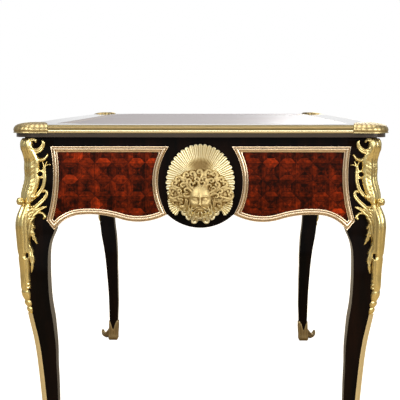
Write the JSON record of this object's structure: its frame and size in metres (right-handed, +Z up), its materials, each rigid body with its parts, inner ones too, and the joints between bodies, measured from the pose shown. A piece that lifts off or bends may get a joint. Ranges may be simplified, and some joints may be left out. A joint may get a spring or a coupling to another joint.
{
  "type": "writing desk",
  "caption": "Flat-topped writing desk on cabriole legs, with a leather-lined top, drawers along one long side, parquetry panels and gilt bronze mounts.",
  "frame": {"origin": "on the floor under the centre of the top", "axes": "+Z up, +Y along the desk towards its right end as seen by someone standing at its left end, +X towards the side that the drawers open to"},
  "size_m": [0.8, 1.6174, 0.79],
  "materials": {
    "ebonised_wood": "black polish",
    "oak": "waxed",
    "parquetry": "polished cube and trellis veneer",
    "gilt_bronze": "fire-gilt, matt and burnished",
    "desk_leather": "polished, with gilt tooling",
    "steel": "bright"
  },
  "bodies": {
    "carcase": {"top_board": "ebonised_wood", "top_leather": "desk_leather", "top_border_veneer": "ebonised_wood", "top_edge_strips": "gilt_bronze", "corner_shell_right_front": "gilt_bronze", "leg_right_front": "ebonised_wood", "leg_mount_right_front": "gilt_bronze", "foot_mount_right_front": "gilt_bronze", "corner_shell_left_front": "gilt_bronze", "leg_left_front": "ebonised_wood", "leg_mount_left_front": "gilt_bronze", "foot_mount_left_front": "gilt_bronze", "corner_shell_right_back": "gilt_bronze", "leg_right_back": "ebonised_wood", "leg_mount_right_back": "gilt_bronze", "foot_mount_right_back": "gilt_bronze", "corner_shell_left_back": "gilt_bronze", "leg_left_back": "ebonised_wood", "leg_mount_left_back": "gilt_bronze", "foot_mount_left_back": "gilt_bronze", "arris_strips": "gilt_bronze", "end_apron_left": "ebonised_wood", "end_frames_left": "gilt_bronze", "end_veneers_left": "parquetry", "partition_left": "oak", "mask_left": "gilt_bronze", "end_apron_right": "ebonised_wood", "end_frames_right": "gilt_bronze", "end_veneers_right": "parquetry", "partition_right": "oak", "mask_right": "gilt_bronze", "back_apron": "ebonised_wood", "back_frames": "gilt_bronze", "back_veneers": "parquetry", "front_rail": "ebonised_wood", "drawer_runners": "oak"},
    "drawer_left": {"drawer_left_front": "ebonised_wood", "drawer_left_frame": "gilt_bronze", "drawer_left_veneer": "parquetry", "drawer_left_box": "oak", "drawer_left_escutcheon": "gilt_bronze", "drawer_left_lock": "steel"},
    "key_left": {"drawer_left_key": "steel"},
    "bolt_left": {"drawer_left_bolt": "steel"},
    "drawer_centre": {"drawer_centre_front": "ebonised_wood", "drawer_centre_frame": "gilt_bronze", "drawer_centre_veneer": "parquetry", "drawer_centre_box": "oak", "drawer_centre_escutcheon": "gilt_bronze", "drawer_centre_lock": "steel"},
    "key_centre": {"drawer_centre_key": "steel"},
    "bolt_centre": {"drawer_centre_bolt": "steel"},
    "drawer_right": {"drawer_right_front": "ebonised_wood", "drawer_right_frame": "gilt_bronze", "drawer_right_veneer": "parquetry", "drawer_right_box": "oak", "drawer_right_escutcheon": "gilt_bronze", "drawer_right_lock": "steel"},
    "key_right": {"drawer_right_key": "steel"},
    "bolt_right": {"drawer_right_bolt": "steel"}
  },
  "joints": [
    {"name": "drawer_left_slide", "type": "slide", "parent": "carcase", "child": "drawer_left", "axis": [1, 0, 0], "range_m": [0, 0.45]},
    {"name": "key_left_turn", "type": "hinge", "parent": "drawer_left", "child": "key_left", "pos_m": [0.367, -0.4995, 0.7075], "axis": [1, 0, 0], "range_deg": [0, 180]},
    {"name": "bolt_left_throw", "type": "slide", "parent": "drawer_left", "child": "bolt_left", "axis": [0, 0, 1], "range_m": [0, 0.008]},
    {"name": "drawer_centre_slide", "type": "slide", "parent": "carcase", "child": "drawer_centre", "axis": [1, 0, 0], "range_m": [0, 0.45]},
    {"name": "key_centre_turn", "type": "hinge", "parent": "drawer_centre", "child": "key_centre", "pos_m": [0.367, 0, 0.7075], "axis": [1, 0, 0], "range_deg": [0, 180]},
    {"name": "bolt_centre_throw", "type": "slide", "parent": "drawer_centre", "child": "bolt_centre", "axis": [0, 0, 1], "range_m": [0, 0.008]},
    {"name": "drawer_right_slide", "type": "slide", "parent": "carcase", "child": "drawer_right", "axis": [1, 0, 0], "range_m": [0, 0.45]},
    {"name": "key_right_turn", "type": "hinge", "parent": "drawer_right", "child": "key_right", "pos_m": [0.367, 0.4995, 0.7075], "axis": [1, 0, 0], "range_deg": [0, 180]},
    {"name": "bolt_right_throw", "type": "slide", "parent": "drawer_right", "child": "bolt_right", "axis": [0, 0, 1], "range_m": [0, 0.008]}
  ],
  "couplings": [
    {"joint": "key_left_turn", "follows": "bolt_left_throw", "rad_per_m": 392.69},
    {"joint": "key_centre_turn", "follows": "bolt_centre_throw", "rad_per_m": 392.69},
    {"joint": "key_right_turn", "follows": "bolt_right_throw", "rad_per_m": 392.69}
  ]
}
